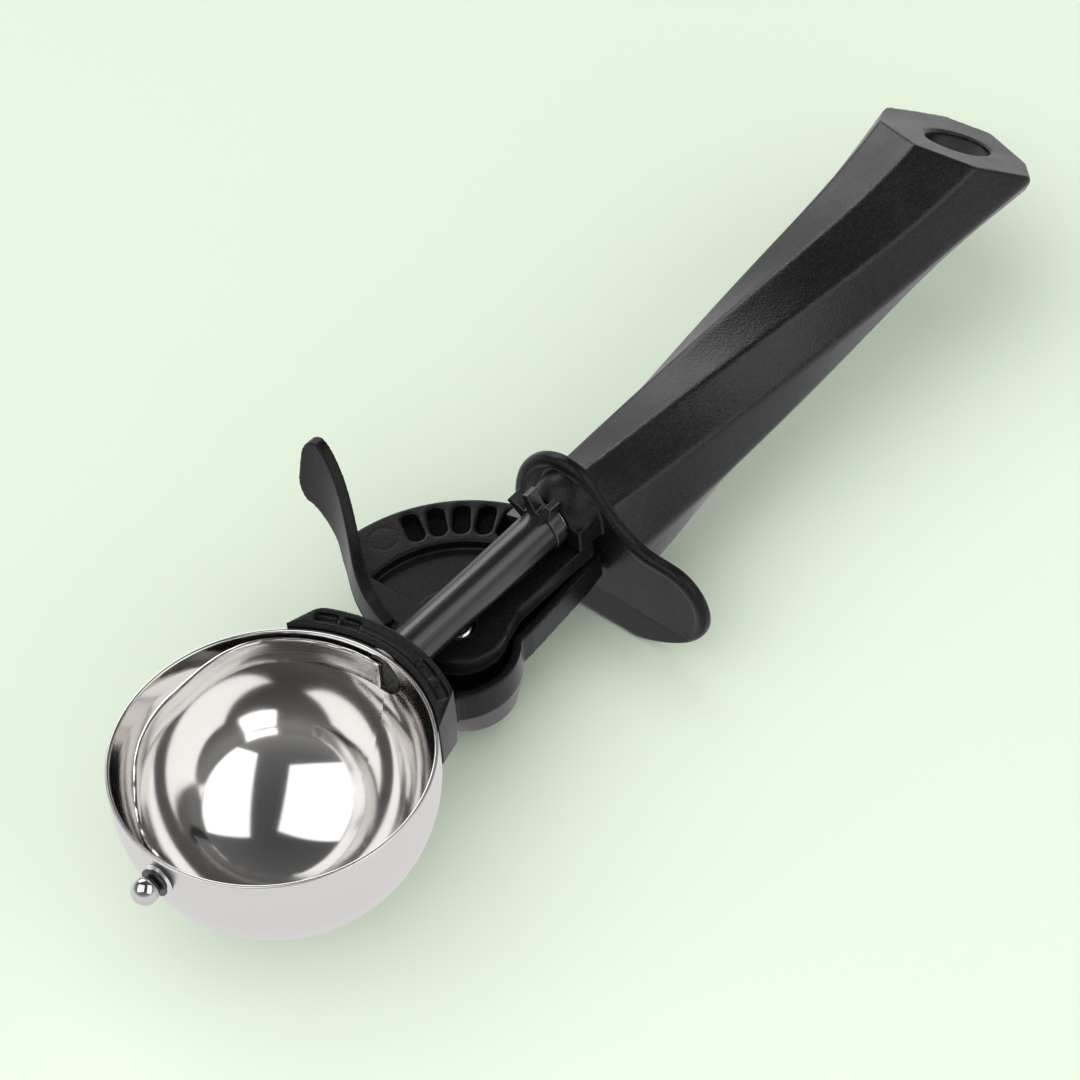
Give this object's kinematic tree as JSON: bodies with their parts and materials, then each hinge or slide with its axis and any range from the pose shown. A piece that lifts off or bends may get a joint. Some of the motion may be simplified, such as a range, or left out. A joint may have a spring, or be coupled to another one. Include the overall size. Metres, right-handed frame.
{
  "type": "lever ice cream scoop",
  "caption": "Thumb-lever ice cream scoop with a polished steel bowl, a sweeping wiper strip and a twisted black grip.",
  "frame": {"origin": "centre of the bowl's sphere, on the axis of the spindle that turns the wiper", "axes": "+X along the spindle towards the grip, +Y to the thumb lever's side, +Z out of the bowl's mouth"},
  "size_m": [0.2407, 0.0731, 0.0383],
  "materials": {
    "polished_steel": "mirror polished stainless steel",
    "zinc_steel": "zinc plated",
    "black_shaft": "smooth satin black",
    "black_moulding": "fine moulded black",
    "grained_black": "grained soft-touch black",
    "dark_seal": "matt black",
    "white_nylon": "natural nylon"
  },
  "bodies": {
    "root": {"bowl": "polished_steel", "bowl_studs": "polished_steel", "stud_nuts": "zinc_steel", "front_pivot_pin": "polished_steel", "front_pivot_cone": "polished_steel", "front_pivot_washer": "dark_seal", "lever_pivot_pin": "polished_steel", "thrust_washer": "white_nylon", "push_nut": "zinc_steel", "return_spring": "zinc_steel", "spring_cover": "black_moulding", "front_bush": "dark_seal", "rear_bush": "white_nylon", "frame": "black_moulding", "guard": "black_moulding", "grip": "grained_black", "grip_screw": "zinc_steel"},
    "lever": {"lever": "black_moulding"},
    "spindle": {"spindle_shaft": "black_shaft", "wiper_cross_pin": "zinc_steel", "pinion": "black_shaft", "wiper_blade": "polished_steel"}
  },
  "joints": [
    {"name": "lever_pivot", "type": "hinge", "parent": "root", "child": "lever", "pos_m": [0.0463, 0, -0.0066], "axis": [0, 0, -1], "range_deg": [0, 41.5], "stiffness_Nm_per_rad": 0.02, "springref_deg": -22.92, "deforming": ["return_spring"]},
    {"name": "spindle_spin", "type": "hinge", "parent": "root", "child": "spindle", "pos_m": [0.05, 0, 0], "axis": [-1, 0, 0], "range_deg": [0, 166]}
  ],
  "couplings": [
    {"joint": "spindle_spin", "follows": "lever_pivot", "ratio": 4}
  ]
}
